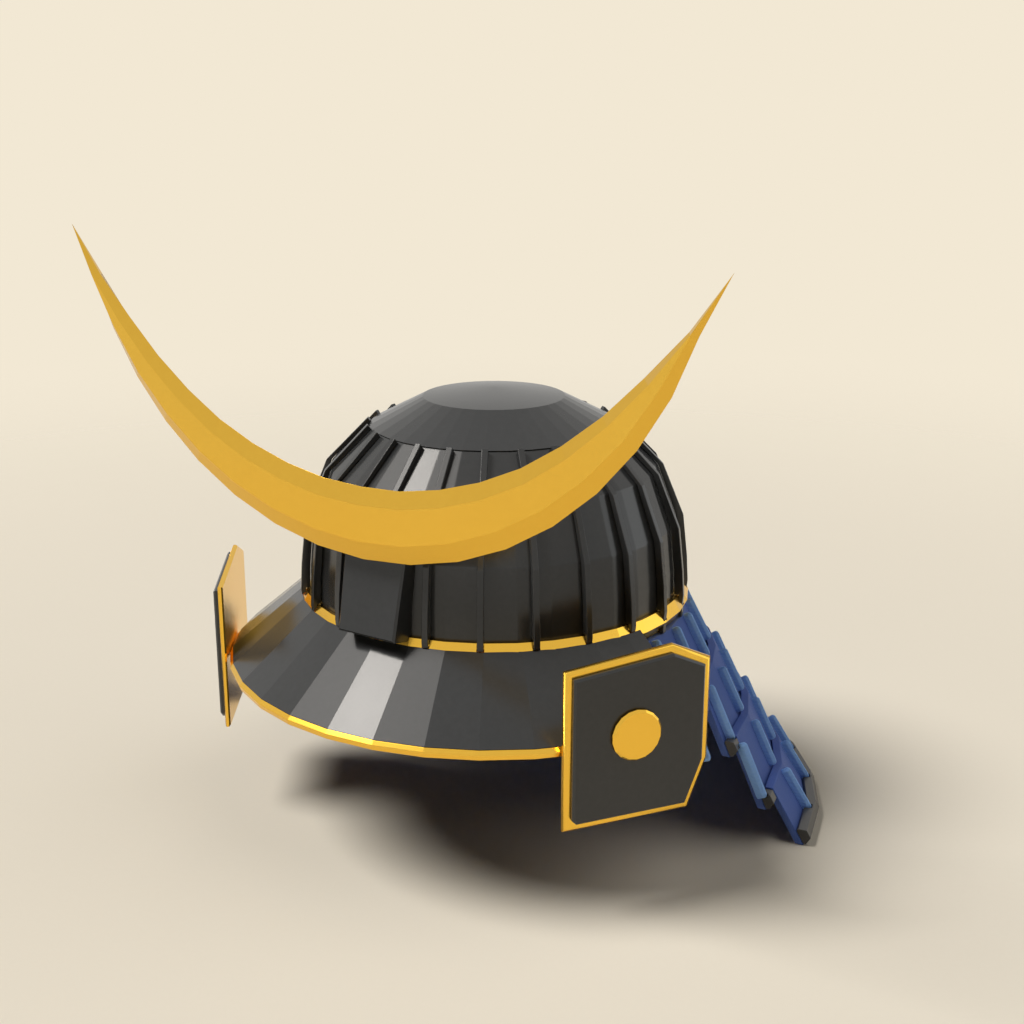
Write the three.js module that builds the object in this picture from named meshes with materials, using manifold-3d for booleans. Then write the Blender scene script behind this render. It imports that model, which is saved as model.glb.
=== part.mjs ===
// A kabuto, the helmet of a suit of samurai armour, as an assembly of separate pieces.
// Millimetres, +Z up. The bowl stands on the Z axis, the brow faces -Y, and the helmet is the same
// on both sides of the plane X = 0. Z = 0 is the upper edge of the gilt band round the bowl's foot,
// where the helmet sits on the head. Angles run round Z from +X, so the brow is at -90 degrees.
import * as THREE from 'three';
import { mergeVertices } from 'three/addons/utils/BufferGeometryUtils.js';
import Module from 'manifold-3d';

const wasm = await Module();
wasm.setup();

// ---------------------------------------------------------------- driving dimensions
const GAP = 0.3;                 // air left between pieces that touch
// The same gap beside a sloping or hexagonal face: how far its corners move out, level and upright.
const SLOPE_GAP = { corner: 1.2 * GAP, flat: 0.6 * GAP };
const BROW = -90;                // angle of the middle of the brow
const BACK = 90;                 // angle of the middle of the neck

const WALL = 2.5;                // thickness of the bowl's iron
const FACETS = 36;               // flat plates round the bowl, band and cap
const CORNER_REACH = 2;          // degrees within which a rib stands on a corner of the bowl
const INSIDE_R = 100;            // radius well inside the bowl's wall, where cutters end
// outer outline of the bowl, from the foot to the crown
const BOWL = [
  { r: 112.7, z: -12.2 }, { r: 112.9, z: 0 }, { r: 112.3, z: 15.8 }, { r: 109.7, z: 41.1 },
  { r: 98.0, z: 72.7 }, { r: 73.2, z: 96.2 }, { r: 41.5, z: 110.4 }, { r: 0, z: 115.2 },
];
const CAP_LIP = { r: 73.4, z: 96.5 };     // lower edge of the cap, just clear of the bowl
const CAP_RIM = { r: 73.7, z: 97.2 };
const CAP_SHOULDER = { r: 42.3, z: 113.2 };
const CAP_TOP = 118;

const BAND_HEX = { r: 111.4, z: -6.2, size: 7.45 };    // hexagonal section of the gilt band

const RIBS = 24;
const RIB_WIDTH = 3.7;
const RIB_FLOOR = 115.4;         // inner face of a rib where it runs through the band
// outer edge of a rib, from below the band up to the cap
const RIB_EDGE = [
  { r: 117.8, z: -13.2 }, { r: 117.9, z: -4.5 }, { r: 118.3, z: 0 }, { r: 117.3, z: 15.8 },
  { r: 114.4, z: 41.1 }, { r: 101.4, z: 72.7 }, { r: 75.6, z: 99.0 },
];
const RIB_TIP = { r: 2.0, z: 2.9 };       // from the rib's upper outer corner in to its inner one
const RIB_LIP = 0.5;             // height above the band at which a rib steps out over it

const BRIM = { inner: 113.6, outer: 161.3, topR: 117.35, topZ: -3.6, slope: 0.845, thickness: 3.0 };
const BRIM_ROOM = { inward: 8, depth: 20 };      // cut out of the ribs where the brim passes
const BRIM_STEP = 10.3;          // facets of the brim, counted from the brow
const BRIM_STEPS = 7;
const BRIM_END = 77.9;           // half of the brim's angle
const TRIM_HEX = { r: 159.9, z: -43.8, size: 3.45 };

// The holder widens upwards and leans back with the brow. Its foot is at (front, bottom), and its
// height runs up the lean.
const HOLDER = {
  footHalf: 19.4, topHalf: 21.4, front: -127.1, bottom: 0.9, height: 70, depth: 34, lean: 12.4,
  bevel: 1.2,
};
const PEG = { halfWidth: 9, front: -123.6, back: -109, bottom: 57.5, top: 65.5 };

const CREST_Y = -126.5;          // middle plane of the crescent
const CREST_DEPTH = 4.4;         // from the middle plane to either flat face
const CREST_CENTRE_Z = 250.6;    // centre of the crescent's outer circle
const CREST_SEGMENTS = 18;
// half of the crescent, from its lowest point to a tip: radius of the outer edge, width, and how far
// the flat face keeps from the outer and inner edges
const CREST = [
  { angle: 0, outer: 205.4, width: 40.7, bevelOuter: 11.2, bevelInner: 9.2, depth: 1 },
  { angle: 15, outer: 205.4, width: 39.3, bevelOuter: 11.0, bevelInner: 9.0, depth: 1 },
  { angle: 30, outer: 205.4, width: 35.3, bevelOuter: 10.0, bevelInner: 8.5, depth: 1 },
  { angle: 45, outer: 205.4, width: 28.6, bevelOuter: 8.2, bevelInner: 7.3, depth: 1 },
  { angle: 54, outer: 205.4, width: 22.9, bevelOuter: 6.7, bevelInner: 6.0, depth: 1 },
  { angle: 63, outer: 205.4, width: 15.6, bevelOuter: 5.4, bevelInner: 4.9, depth: 1 },
  { angle: 71.1, outer: 205.4, width: 5.1, bevelOuter: 2.4, bevelInner: 2.4, depth: 0.9 },
  { angle: 79.8, outer: 213.1, width: 0, bevelOuter: 0, bevelInner: 0, depth: 0 },
];

const WING_ANGLE = -34.8;        // direction in which the wing on the +X side faces
const WING_DISTANCE = 165.6;     // from the Z axis to the wing's outer gilt face
const WING_THICKNESS = 3.4;
// outline of a wing, seen square on: s runs backwards along the plate
const WING = [
  { s: -26.9, z: -87.0 }, { s: 47.1, z: -86.6 }, { s: 58.1, z: -58.5 },
  { s: 58.2, z: -0.6 }, { s: 35.4, z: 10.0 }, { s: -26.7, z: 3.3 },
];
const WING_BEVEL = 0.9;
const WING_BORDER = 4.3;         // gilt left showing round the panel
const PANEL_THICKNESS = 3.0;
const PANEL_BEVEL = 0.8;
const PANEL_CORNER = 2.5;        // cut off the panel's lower front corner
const DISC = { s: 13.0, z: -35.9, r: 14.5, thickness: 2.4, bevel: 0.9, sides: 18 };

// Neck guard: outer face of each lame from its top edge to its bottom edge, the angle at which its
// front end lies, and how far its lacing runs. Lames are counted downwards.
const LAMES = [
  { top: { r: 117.2, z: -13.5 }, bottom: { r: 137.3, z: -53.2 }, end: -10.5, laces: 17,
    laceTop: -15.5, laceBottom: -43.0 },
  { top: { r: 136.9, z: -40.8 }, bottom: { r: 158.1, z: -85.2 }, end: 3.4, laces: 17,
    laceTop: -47.9, laceBottom: -76.7 },
  { top: { r: 158.8, z: -74.2 }, bottom: { r: 178.7, z: -117.6 }, end: 6.2, laces: 15,
    laceTop: -79.9, laceBottom: -108.9 },
  { top: { r: 180.1, z: -107.0 }, bottom: { r: 200.1, z: -140.0 }, end: 8.9, laces: 13,
    laceTop: -109.3, laceBottom: -132.3 },
];
const LAME_THICKNESS = 5.2;      // padded lacing over its plate, measured level
const LAME_FACETS = 14;
const ROD_END = 0.25;            // degrees left between a rod's end and the lame that covers it
const REACH = 70;                // depth of the room cut behind a lame's face
const BELOW = 0.5;               // and how far that room runs on below the lame above
const PAST_END = 3;              // degrees by which it runs past that lame's ends
// section that holds the whole of the neck guard
const GUARD_ROOM = { inner: 10, outer: 300, top: 0, bottom: -200 };
const TONGUE = { end: -8.6, foot: -57.5, rooted: 1 };    // rooted: degrees that lie within the lame
// dark rod: its middle is this far above the lame's foot and this far out from its face
const EDGE_HEX = { size: 5.2, rise: 5.5, out: 2.0 };
const LACE_STEP = 12;
// one lacing cord: its height is measured from the round outline that the plate's facets are cut from
const LACE = {
  width: 4.3, top: 4.55, middle: 2.6, root: -1.8, rootWidth: 3.2, taper: 1.6, drawnIn: 0.5,
};

// ---------------------------------------------------------------- materials
const gilt = new THREE.MeshStandardMaterial({ color: 0xe4b040, roughness: 0.34, metalness: 0.9 });
const lacquer = new THREE.MeshStandardMaterial({ color: 0x3a3835, roughness: 0.3, metalness: 0.3 });
const silk = new THREE.MeshStandardMaterial({ color: 0x4a5880, roughness: 0.7, metalness: 0 });

const helmet = new THREE.Group();
const rad = THREE.MathUtils.degToRad;

// ---------------------------------------------------------------- solids
// A geometry with shared corners and nothing but positions.
function bare(geometry) {
  const copy = geometry.clone();
  for (const name of Object.keys(copy.attributes)) {
    if (name !== 'position') copy.deleteAttribute(name);
  }
  return mergeVertices(copy, 1e-4);
}

function toSolid(geometry) {
  const merged = bare(geometry);
  return new wasm.Manifold(new wasm.Mesh({
    numProp: 3,
    vertProperties: new Float32Array(merged.attributes.position.array),
    triVerts: new Uint32Array(merged.index.array),
  }));
}

function toGeometry(solid) {
  const { vertProperties, triVerts } = solid.getMesh();
  const geometry = new THREE.BufferGeometry();
  geometry.setAttribute('position', new THREE.BufferAttribute(new Float32Array(vertProperties), 3));
  geometry.setIndex([...triVerts]);
  return geometry;
}

// Turns triangles outwards: their signed volume has to come out positive.
function facingOut(positions, triangles) {
  const a = new THREE.Vector3();
  const b = new THREE.Vector3();
  const c = new THREE.Vector3();
  let volume = 0;
  for (const [i, j, k] of triangles) {
    a.fromArray(positions, 3 * i);
    b.fromArray(positions, 3 * j);
    c.fromArray(positions, 3 * k);
    volume += a.dot(b.cross(c));
  }
  return volume > 0 ? triangles : triangles.map(([i, j, k]) => [i, k, j]);
}

function geometryFrom(positions, triangles) {
  const geometry = new THREE.BufferGeometry();
  geometry.setAttribute('position', new THREE.Float32BufferAttribute(positions, 3));
  geometry.setIndex(facingOut(positions, triangles).flat());
  return geometry;
}

// Carries a closed outline of { r, z } corners round the Z axis through the listed angles.
// With closed = true the last angle joins the first; otherwise both ends are capped.
// A corner on the axis is one point, so a dome closes without slivers.
function sweepRound(outline, angles, closed) {
  const positions = [];
  const at = [];
  for (let a = 0; a < angles.length; a += 1) {
    at.push(outline.map(({ r, z }, i) => {
      if (r === 0 && a > 0) return at[0][i];
      positions.push(r * Math.cos(rad(angles[a])), r * Math.sin(rad(angles[a])), z);
      return positions.length / 3 - 1;
    }));
  }
  const triangles = [];
  const spans = closed ? angles.length : angles.length - 1;
  for (let a = 0; a < spans; a += 1) {
    const here = at[a];
    const next = at[(a + 1) % angles.length];
    for (let i = 0; i < outline.length; i += 1) {
      const j = (i + 1) % outline.length;
      for (const face of [[here[i], here[j], next[j]], [here[i], next[j], next[i]]]) {
        if (new Set(face).size === 3) triangles.push(face);
      }
    }
  }
  if (!closed) {
    const flat = outline.map(({ r, z }) => new THREE.Vector2(r, z));
    for (const [i, j, k] of THREE.ShapeUtils.triangulateShape(flat, [])) {
      const last = at[angles.length - 1];
      triangles.push([at[0][i], at[0][k], at[0][j]], [last[i], last[j], last[k]]);
    }
  }
  return geometryFrom(positions, consistent(triangles));
}

// Gives every triangle the winding of its neighbours, starting from the first one.
function consistent(triangles) {
  const byEdge = new Map();
  const key = (i, j) => (i < j ? `${i},${j}` : `${j},${i}`);
  triangles.forEach((face, index) => face.forEach((i, n) => {
    const edge = key(i, face[(n + 1) % 3]);
    byEdge.set(edge, [...(byEdge.get(edge) ?? []), index]);
  }));
  const done = new Set([0]);
  const queue = [0];
  while (queue.length > 0) {
    const current = triangles[queue.pop()];
    for (let n = 0; n < 3; n += 1) {
      const i = current[n];
      const j = current[(n + 1) % 3];
      for (const other of byEdge.get(key(i, j))) {
        if (done.has(other)) continue;
        const face = triangles[other];
        const from = face.indexOf(i);
        if (face[(from + 1) % 3] === j) triangles[other] = [face[0], face[2], face[1]];
        done.add(other);
        queue.push(other);
      }
    }
  }
  return triangles;
}

// A prism: the outline of [x, y] corners, raised along +Z from 0, with bevelled edges if asked.
function prism(corners, height, bevel = 0) {
  const shape = new THREE.Shape(corners.map(([x, y]) => new THREE.Vector2(x, y)));
  const geometry = new THREE.ExtrudeGeometry(shape, {
    depth: height - 2 * bevel,
    bevelEnabled: bevel > 0,
    bevelThickness: bevel,
    bevelSize: bevel,
    bevelOffset: -bevel,
    bevelSegments: 1,
  });
  geometry.translate(0, 0, bevel);
  return geometry;
}

// Corners of a hexagon with one corner pointing away from the axis.
function hexagon({ r, z, size }) {
  return Array.from({ length: 6 }, (_, i) => ({
    r: r + size * Math.cos(rad(60 * i)),
    z: z + size * Math.sin(rad(60 * i)),
  }));
}

function ring(count, start = 0) {
  return Array.from({ length: count }, (_, i) => start + (i * 360) / count);
}

function add(name, geometryOrSolid, material) {
  const geometry = geometryOrSolid.isBufferGeometry ? geometryOrSolid : toGeometry(geometryOrSolid);
  const mesh = new THREE.Mesh(bare(geometry), material);
  mesh.name = name;
  helmet.add(mesh);
  return mesh;
}

const mirrored = (geometry) => {
  const copy = bare(geometry);
  copy.applyMatrix4(new THREE.Matrix4().makeScale(-1, 1, 1));
  copy.setIndex([...copy.index.array].reverse());
  return copy;
};

// ---------------------------------------------------------------- bowl, cap and band
const inward = BOWL.slice(0, -1).map(({ r, z }, i) => {
  const before = BOWL[Math.max(i - 1, 0)];
  const after = BOWL[i + 1];
  const along = new THREE.Vector2(after.r - before.r, after.z - before.z).normalize();
  return { r: r - along.y * WALL, z: i === 0 ? z : z + along.x * WALL };
});
const bowlOutline = [...BOWL, { r: 0, z: BOWL.at(-1).z - WALL }, ...inward.reverse()];
add('bowl', sweepRound(bowlOutline, ring(FACETS), true), lacquer);

const capOutline = [
  CAP_LIP, CAP_RIM, CAP_SHOULDER, { r: 0, z: CAP_TOP },
  { r: 0, z: BOWL.at(-1).z + GAP }, { r: BOWL.at(-2).r, z: BOWL.at(-2).z + GAP },
];
add('top_cap', sweepRound(capOutline, ring(FACETS), true), lacquer);

const bowlFootR = BOWL[1].r + GAP;
const bandHex = hexagon(BAND_HEX).filter(({ r }) => r > bowlFootR);
const bandOutline = [
  { r: bowlFootR, z: bandHex[1].z }, bandHex[1], bandHex[0], bandHex[2],
  { r: bowlFootR, z: bandHex[2].z },
];

// ---------------------------------------------------------------- ribs
// Outline of a rib in the plane through the axis. Its inner edge follows the bowl, steps out over
// the band and runs on to just below it. grow thickens it all round, to cut room for it elsewhere.
function ribOutline(bowlScale, grow) {
  const onBowl = BOWL.slice(1, 6).map(({ r, z }) => ({ r: r * bowlScale + GAP - grow, z }));
  const tip = RIB_EDGE.at(-1);
  const lip = bandHex[1].z + RIB_LIP;
  onBowl[0] = { r: onBowl[0].r, z: lip };
  onBowl[4] = { r: tip.r - RIB_TIP.r - grow * Math.SQRT1_2, z: tip.z - RIB_TIP.z - grow * Math.SQRT1_2 };
  return [
    ...RIB_EDGE.map(({ r, z }, i) => ({ r: r + grow, z: i === 0 ? z - grow : z })),
    ...onBowl.reverse(),
    { r: RIB_FLOOR - grow, z: lip },
    { r: RIB_FLOOR - grow, z: RIB_EDGE[0].z - grow },
  ];
}

function ribSolid(angle, grow = 0) {
  // Halfway along a facet the bowl is a little nearer to the axis than at a corner.
  const step = 360 / FACETS;
  const past = ((angle % step) + step) % step;
  const onFacet = past > CORNER_REACH && past < step - CORNER_REACH;
  const bowlScale = onFacet ? Math.cos(rad(step / 2)) : 1;
  const width = RIB_WIDTH + 2 * grow;
  const outline = ribOutline(bowlScale, grow).map(({ r, z }) => [r, z]);
  const geometry = prism(outline, width);
  geometry.translate(0, 0, -width / 2);
  geometry.rotateX(Math.PI / 2);
  geometry.rotateZ(rad(angle));
  return toSolid(geometry);
}

const ribAngles = ring(RIBS, BROW);
const ribRoom = ribAngles.map((angle) => ribSolid(angle, GAP));
const cutBy = (solid, cutters) => cutters.reduce((left, cutter) => left.subtract(cutter), solid);

const bandRoom = toSolid(sweepRound([
  { r: INSIDE_R, z: bandHex[1].z + GAP },
  { r: bandHex[1].r + SLOPE_GAP.flat, z: bandHex[1].z + GAP },
  { r: bandHex[0].r + SLOPE_GAP.corner, z: bandHex[0].z },
  { r: bandHex[2].r + SLOPE_GAP.flat, z: bandHex[2].z - GAP },
  { r: INSIDE_R, z: bandHex[2].z - GAP },
], ring(FACETS), true));
add('base_band', cutBy(toSolid(sweepRound(bandOutline, ring(FACETS), true)), ribRoom), gilt);

// ---------------------------------------------------------------- brim and its trim
const brimHalf = Array.from({ length: BRIM_STEPS + 1 }, (_, i) => i * BRIM_STEP).concat(BRIM_END);
const brimAngles = [...brimHalf.slice(1).reverse().map((a) => BROW - a), ...brimHalf.map((a) => BROW + a)];
const brimTop = (r) => BRIM.topZ - (r - BRIM.topR) * BRIM.slope;

function brimSolid(inner, outer, raise, thickness) {
  return toSolid(sweepRound([
    { r: inner, z: brimTop(inner) + raise }, { r: inner, z: brimTop(inner) + raise - thickness },
    { r: outer, z: brimTop(outer) + raise - thickness }, { r: outer, z: brimTop(outer) + raise },
  ], brimAngles, false));
}

const trim = toSolid(sweepRound(hexagon(TRIM_HEX), brimAngles, false));
const trimRoomHex = hexagon({ ...TRIM_HEX, size: TRIM_HEX.size + SLOPE_GAP.corner });
const trimRoom = toSolid(sweepRound(trimRoomHex, brimAngles, false));
const brimPlate = brimSolid(BRIM.inner, BRIM.outer, 0, BRIM.thickness);
add('brim', brimPlate.subtract(trimRoom).subtract(bandRoom), lacquer);
add('brim_trim', trim, gilt);

const brimRoom = brimSolid(
  BRIM.inner - BRIM_ROOM.inward, BRIM.outer, GAP * Math.hypot(1, BRIM.slope), BRIM_ROOM.depth,
);
ribAngles.forEach((angle, i) => {
  add(`rib_${String(i + 1).padStart(2, '0')}`, ribSolid(angle).subtract(brimRoom), lacquer);
});

// ---------------------------------------------------------------- crest holder and crescent
function box(x0, x1, y0, y1, z0, z1) {
  const geometry = new THREE.BoxGeometry(x1 - x0, y1 - y0, z1 - z0);
  geometry.translate((x0 + x1) / 2, (y0 + y1) / 2, (z0 + z1) / 2);
  return toSolid(geometry);
}

const bowlRoom = toSolid(sweepRound(
  [...BOWL.map(({ r, z }) => ({ r: r === 0 ? 0 : r + SLOPE_GAP.corner, z })), { r: 0, z: BOWL[0].z }],
  ring(FACETS), true,
));
const holderBlock = prism([
  [-HOLDER.footHalf, 0], [HOLDER.footHalf, 0],
  [HOLDER.topHalf, HOLDER.height], [-HOLDER.topHalf, HOLDER.height],
], HOLDER.depth, HOLDER.bevel);
holderBlock.rotateX(Math.PI / 2);
holderBlock.translate(0, HOLDER.depth, 0);
holderBlock.rotateX(-rad(HOLDER.lean));
holderBlock.translate(0, HOLDER.front, HOLDER.bottom);
const socket = box(-PEG.halfWidth - GAP, PEG.halfWidth + GAP, PEG.front, PEG.back + GAP,
  PEG.bottom - GAP, PEG.top + GAP);
add('crest_holder', cutBy(toSolid(holderBlock), [bowlRoom, bandRoom, ribRoom[0], socket]), lacquer);

// The crescent's section at an angle from its lowest point, from the rows of CREST on either side.
function crestSection(angle) {
  const turn = Math.abs(angle);
  const after = Math.max(1, CREST.findIndex((row) => row.angle >= turn - 1e-6));
  const [low, high] = [CREST[after - 1], CREST[after]];
  const part = (turn - low.angle) / (high.angle - low.angle);
  const at = (column) => low[column] + (high[column] - low[column]) * part;
  return {
    angle: rad(angle),
    outer: at('outer'),
    inner: at('outer') - at('width'),
    faceOuter: at('outer') - at('bevelOuter'),
    faceInner: at('outer') - at('width') + at('bevelInner'),
    depth: at('depth') * CREST_DEPTH,
  };
}

function crescentSolid() {
  const positions = [];
  const put = (angle, radius, y) => {
    positions.push(radius * Math.sin(angle), y, CREST_CENTRE_Z - radius * Math.cos(angle));
    return positions.length / 3 - 1;
  };
  const sections = [];
  const { angle: tipAngle, outer: tipR } = CREST.at(-1);
  for (let i = 1; i < CREST_SEGMENTS; i += 1) {
    const s = crestSection(tipAngle * ((2 * i) / CREST_SEGMENTS - 1));
    sections.push([
      put(s.angle, s.outer, CREST_Y), put(s.angle, s.faceOuter, CREST_Y - s.depth),
      put(s.angle, s.faceInner, CREST_Y - s.depth), put(s.angle, s.inner, CREST_Y),
      put(s.angle, s.faceInner, CREST_Y + s.depth), put(s.angle, s.faceOuter, CREST_Y + s.depth),
    ]);
  }
  const tips = [-1, 1].map((side) => put(rad(side * tipAngle), tipR, CREST_Y));
  const triangles = [];
  for (let n = 0; n + 1 < sections.length; n += 1) {
    for (let i = 0; i < 6; i += 1) {
      const j = (i + 1) % 6;
      const [a, b, c, d] = [sections[n][i], sections[n][j], sections[n + 1][j], sections[n + 1][i]];
      triangles.push([a, b, c], [a, c, d]);
    }
  }
  for (let i = 0; i < 6; i += 1) {
    const j = (i + 1) % 6;
    triangles.push([tips[0], sections[0][i], sections[0][j]]);
    triangles.push([tips[1], sections.at(-1)[j], sections.at(-1)[i]]);
  }
  return toSolid(geometryFrom(positions, consistent(triangles)));
}

const peg = box(-PEG.halfWidth, PEG.halfWidth, PEG.front, PEG.back, PEG.bottom, PEG.top);
add('crescent', crescentSolid().add(peg), gilt);

// ---------------------------------------------------------------- wings
// Places a piece that is drawn flat, x backwards along the wing and y up, at its distance from
// the axis.
function onWing(geometry, distance) {
  geometry.rotateX(Math.PI / 2);
  geometry.rotateZ(Math.PI / 2);
  geometry.translate(distance, 0, 0);
  geometry.rotateZ(rad(WING_ANGLE));
  return geometry;
}

// Moves each side of a convex outline inwards by the same distance.
function inset(corners, distance) {
  return corners.map(([x, y], i) => {
    const [px, py] = corners[(i + corners.length - 1) % corners.length];
    const [nx, ny] = corners[(i + 1) % corners.length];
    const before = new THREE.Vector2(x - px, y - py).normalize();
    const after = new THREE.Vector2(nx - x, ny - y).normalize();
    const turn = before.cross(after);
    const shift = distance / turn;
    return [x + (after.x - before.x) * shift, y + (after.y - before.y) * shift];
  });
}

const wingCorners = WING.map(({ s, z }) => [s, z]);
const panelCorners = inset(wingCorners, WING_BORDER);
const [panelS, panelZ] = panelCorners[0];
panelCorners.splice(0, 1, [panelS, panelZ + PANEL_CORNER], [panelS + PANEL_CORNER, panelZ]);
const discCorners = Array.from({ length: DISC.sides }, (_, i) => {
  const turn = (2 * Math.PI * (i + 0.5)) / DISC.sides;
  return [DISC.s + DISC.r * Math.cos(turn), DISC.z + DISC.r * Math.sin(turn)];
});
const plateFace = WING_DISTANCE;
const panelFace = plateFace + GAP + PANEL_THICKNESS;
const plateBlock = onWing(prism(wingCorners, WING_THICKNESS, WING_BEVEL), plateFace - WING_THICKNESS);
const plate = toGeometry(toSolid(plateBlock).subtract(trimRoom));
const panel = onWing(prism(panelCorners, PANEL_THICKNESS, PANEL_BEVEL), plateFace + GAP);
const disc = onWing(prism(discCorners, DISC.thickness, DISC.bevel), panelFace + GAP);

for (const [side, shape] of [['r', mirrored], ['l', (geometry) => geometry]]) {
  add(`wing_plate_${side}`, shape(plate), gilt);
  add(`wing_panel_${side}`, shape(panel), lacquer);
  add(`wing_disc_${side}`, shape(disc), gilt);
}

// ---------------------------------------------------------------- neck guard
// One lacing cord: a bar of six sides with tapered ends, standing on the outer face of a lame and
// ending at height foot. With room = true it is the plain block that keeps clear of it.
function laceSolid(lame, angle, foot, room = false) {
  const lean = Math.atan(-slopeOf(lame));
  const length = (lame.laceTop - foot) / Math.cos(lean);
  const place = (geometry) => {
    geometry.rotateY(-lean);
    geometry.translate(lame.top.r + (lame.laceTop - lame.top.z) * slopeOf(lame), 0, lame.laceTop);
    geometry.rotateZ(rad(angle));
    return toSolid(geometry);
  };
  if (room) {
    const height = LACE.top - LACE.root + 2 * GAP;
    const block = new THREE.BoxGeometry(height, LACE.width + 2 * GAP, length + 2 * LACE.taper + 2 * GAP);
    block.translate((LACE.top + LACE.root) / 2, 0, -length / 2);
    return place(block);
  }
  const half = LACE.width / 2;
  const section = [
    { out: LACE.root, across: LACE.rootWidth / 2 }, { out: LACE.middle, across: half },
    { out: LACE.top, across: half / 2 }, { out: LACE.top, across: -half / 2 },
    { out: LACE.middle, across: -half }, { out: LACE.root, across: -LACE.rootWidth / 2 },
  ];
  const rows = [
    { d: -LACE.taper, scale: LACE.drawnIn }, { d: 0, scale: 1 },
    { d: length, scale: 1 }, { d: length + LACE.taper, scale: LACE.drawnIn },
  ];
  const positions = [];
  const at = rows.map(({ d, scale }) => section.map(({ out, across }) => {
    const drawnIn = out > LACE.middle ? LACE.middle + (out - LACE.middle) * scale : out;
    positions.push(drawnIn, across * scale, -d);
    return positions.length / 3 - 1;
  }));
  const triangles = [];
  for (let n = 0; n + 1 < at.length; n += 1) {
    for (let i = 0; i < 6; i += 1) {
      const j = (i + 1) % 6;
      triangles.push([at[n][i], at[n][j], at[n + 1][j]], [at[n][i], at[n + 1][j], at[n + 1][i]]);
    }
  }
  for (let i = 1; i < 5; i += 1) {
    for (const end of [at[0], at.at(-1)]) triangles.push([end[0], end[i], end[i + 1]]);
  }
  return place(geometryFrom(positions, consistent(triangles)));
}

// The second lame's outermost cords hang past its ends, each from a short tongue of its upper edge.
function tongues(lame) {
  const { top, end } = lame;
  const low = { r: top.r + (TONGUE.foot - top.z) * slopeOf(lame), z: TONGUE.foot };
  const outline = [
    top, low, { r: low.r - LAME_THICKNESS, z: low.z }, { r: top.r - LAME_THICKNESS, z: top.z },
  ];
  const front = [TONGUE.end, end + TONGUE.rooted];
  const back = front.map((angle) => 2 * BACK - angle);
  return [front, back].map((ends) => toSolid(sweepRound(outline, ends, false)));
}

const lameAngles = ({ end }) => {
  const step = (2 * (BACK - end)) / LAME_FACETS;
  return Array.from({ length: LAME_FACETS + 1 }, (_, i) => end + i * step);
};
const slopeOf = ({ top, bottom }) => (bottom.r - top.r) / (bottom.z - top.z);

// The padded plate itself, between its outer face and the same outline nearer the axis.
function plateSolid(lame, inward, grow, below) {
  const lowR = lame.bottom.r + grow - below * slopeOf(lame);
  const angles = lameAngles(lame);
  if (grow > 0) {
    angles.unshift(lame.end - PAST_END);
    angles.push(2 * BACK - lame.end + PAST_END);
  }
  return toSolid(sweepRound([
    { r: lame.top.r + grow, z: lame.top.z + grow }, { r: lowR, z: lame.bottom.z - below },
    { r: lowR - inward, z: lame.bottom.z - below }, { r: lame.top.r - inward, z: lame.top.z + grow },
  ], angles, false));
}

function union(solids) {
  return solids.reduce((whole, solid) => whole.add(solid));
}

// The angle at which the lame below starts to cover this one, or none under the lowest.
const coveredFrom = (n) => (n === 0 ? TONGUE.end : LAMES[n + 1]?.end);

// A cord under the lame below stops at that lame's upper edge; one in front of its end runs on.
const laces = LAMES.map((lame, n) => Array.from({ length: lame.laces }, (_, i) => {
  const angle = BACK + (i - (lame.laces - 1) / 2) * LACE_STEP;
  const covered = Math.abs(angle - BACK) < BACK - coveredFrom(n);
  const foot = covered ? LAMES[n + 1].top.z + LACE.taper + 2 * GAP : lame.laceBottom;
  return { angle, foot: Math.max(foot, lame.laceBottom) };
}));
const laceRooms = LAMES.map((lame, n) => union(
  laces[n].map(({ angle, foot }) => laceSolid(lame, angle, foot, true)),
));

LAMES.forEach((lame, n) => {
  const pieces = [plateSolid(lame, LAME_THICKNESS, 0, 0)];
  if (n === 1) pieces.push(...tongues(lame));
  let plate = union(pieces);
  if (n > 0) {
    const above = plateSolid(LAMES[n - 1], REACH, GAP, BELOW);
    plate = plate.subtract(above).subtract(laceRooms[n - 1]);
  }
  const laced = union([plate, ...laces[n].map(({ angle, foot }) => laceSolid(lame, angle, foot))]);
  add(`lame_${n + 1}`, n === 0 ? cutBy(laced, ribRoom) : laced, silk);

  const bar = toSolid(sweepRound(hexagon({
    r: lame.bottom.r + EDGE_HEX.rise * slopeOf(lame) + EDGE_HEX.out,
    z: lame.bottom.z + EDGE_HEX.rise,
    size: EDGE_HEX.size,
  }), lameAngles(lame), false));
  const edge = bar.subtract(plateSolid(lame, REACH, GAP, EDGE_HEX.size)).subtract(laceRooms[n]);
  if (n === LAMES.length - 1) {
    add(`lame_edge_${n + 1}`, edge, lacquer);
    return;
  }
  // The lame below lies over the rest of the bar, so only its two ends stand free.
  const from = coveredFrom(n) - ROD_END;
  const covered = toSolid(sweepRound(
    [{ r: GUARD_ROOM.inner, z: GUARD_ROOM.bottom }, { r: GUARD_ROOM.outer, z: GUARD_ROOM.bottom },
      { r: GUARD_ROOM.outer, z: GUARD_ROOM.top }, { r: GUARD_ROOM.inner, z: GUARD_ROOM.top }],
    Array.from({ length: LAME_FACETS + 1 }, (_, i) => from + (2 * (BACK - from) * i) / LAME_FACETS),
    false,
  ));
  const ends = edge.subtract(covered).subtract(laceRooms[n + 1]).decompose();
  const [left, right] = ends.sort((a, b) => b.boundingBox().max[0] - a.boundingBox().max[0]);
  add(`lame_edge_${n + 1}_l`, left, lacquer);
  add(`lame_edge_${n + 1}_r`, right, lacquer);
});

export default helmet;
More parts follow.
